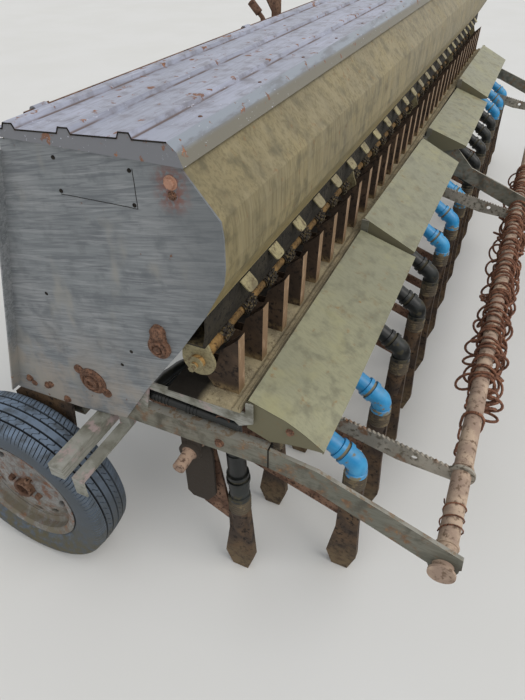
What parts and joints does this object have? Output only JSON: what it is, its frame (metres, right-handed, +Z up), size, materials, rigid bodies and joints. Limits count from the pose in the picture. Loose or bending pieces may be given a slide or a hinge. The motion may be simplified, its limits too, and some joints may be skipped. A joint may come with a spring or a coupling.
{
  "type": "seed drill",
  "caption": "Mounted seed drill with a long hopper, hinged lid, metering shaft over hinged trays, telescoping seed tubes, coulters, a harrow pipe with chains and two wheels.",
  "frame": {"origin": "centre of the bounding box on the ground", "axes": "+X along the working width to the machine's right, +Y forward in travel, +Z up"},
  "size_m": [4.38, 1.449, 1.369],
  "materials": {
    "grey_blue_paint": "weathered matte with rust",
    "olive_paint": "weathered matte",
    "mauve_grey_paint": "weathered matte with rust",
    "khaki_paint": "weathered matte",
    "rusty_steel": "rusted matte",
    "ochre_rust": "rusted matte",
    "dark_steel": "matte",
    "sandy_dust": "dusty matte",
    "blue_plastic": "matte",
    "dark_plastic": "matte",
    "tyre_rubber": "matte",
    "rim_paint": "rusted matte"
  },
  "bodies": {
    "frame": {"end_plate_left": "grey_blue_paint", "end_plate_right": "grey_blue_paint", "hopper_rear_wall": "olive_paint", "hopper_front_wall": "olive_paint", "metering_trough": "dark_steel", "pull_tabs": "khaki_paint", "lid_hinge_rod": "rusty_steel", "metering_housings": "dark_steel", "seed_chutes": "rusty_steel", "funnel_plate": "sandy_dust", "shaft_brackets": "khaki_paint", "tray_brackets": "olive_paint", "side_arm_left": "grey_blue_paint", "side_arm_right": "grey_blue_paint", "side_beam_left": "olive_paint", "side_beam_right": "olive_paint", "rear_cross_tube": "olive_paint", "front_beam": "olive_paint", "coulter_bar": "olive_paint", "lift_shaft": "rusty_steel", "wheel_leg_left": "dark_steel", "wheel_leg_right": "dark_steel", "side_bracket_left": "grey_blue_paint", "side_bracket_right": "grey_blue_paint", "headstock": "olive_paint", "front_levers": "rusty_steel", "pressure_tubes": "dark_plastic", "funnels": "blue_plastic", "seed_tubes_blue": "blue_plastic", "seed_tubes_dark": "dark_plastic", "coulter_arms": "dark_steel", "coulter_boots_front": "rusty_steel", "coulter_boots_rear": "rusty_steel", "harrow_arms": "dark_steel", "serrated_bars": "rusty_steel", "harrow_pipe": "rusty_steel", "harrow_chains": "rusty_steel"},
    "lid": {"lid": "mauve_grey_paint"},
    "metering_shaft": {"metering_shaft": "ochre_rust"},
    "tray_1": {"tray_1": "khaki_paint"},
    "tray_2": {"tray_2": "khaki_paint"},
    "tray_3": {"tray_3": "khaki_paint"},
    "tray_4": {"tray_4": "khaki_paint"},
    "wheel_left": {"tyre_left": "tyre_rubber", "rim_left": "rim_paint"},
    "wheel_right": {"tyre_right": "tyre_rubber", "rim_right": "rim_paint"}
  },
  "joints": [
    {"name": "lid_hinge", "type": "hinge", "parent": "frame", "child": "lid", "pos_m": [0, 0.2785, 1.278], "axis": [-1, 0, 0], "range_deg": [0, 88]},
    {"name": "metering_shaft_spin", "type": "hinge", "parent": "frame", "child": "metering_shaft", "pos_m": [0, -0.1005, 0.846], "axis": [1, 0, 0], "continuous": true},
    {"name": "tray_1_hinge", "type": "hinge", "parent": "frame", "child": "tray_1", "pos_m": [-1.5595, -0.2195, 0.76], "axis": [-1, 0, 0], "range_deg": [0, 70]},
    {"name": "tray_2_hinge", "type": "hinge", "parent": "frame", "child": "tray_2", "pos_m": [-0.632, -0.2195, 0.772], "axis": [-0.9991, 0, 0.0415], "range_deg": [0, 70]},
    {"name": "tray_3_hinge", "type": "hinge", "parent": "frame", "child": "tray_3", "pos_m": [0.4125, -0.2195, 0.749], "axis": [-0.9997, 0, 0.0256], "range_deg": [0, 70]},
    {"name": "tray_4_hinge", "type": "hinge", "parent": "frame", "child": "tray_4", "pos_m": [1.423, -0.2195, 0.774], "axis": [-0.9999, 0, 0.0142], "range_deg": [0, 70]},
    {"name": "wheel_left_spin", "type": "hinge", "parent": "frame", "child": "wheel_left", "pos_m": [-2.0825, 0.4435, 0.281], "axis": [1, 0, 0], "continuous": true},
    {"name": "wheel_right_spin", "type": "hinge", "parent": "frame", "child": "wheel_right", "pos_m": [2.0825, 0.4435, 0.281], "axis": [1, 0, 0], "continuous": true}
  ]
}
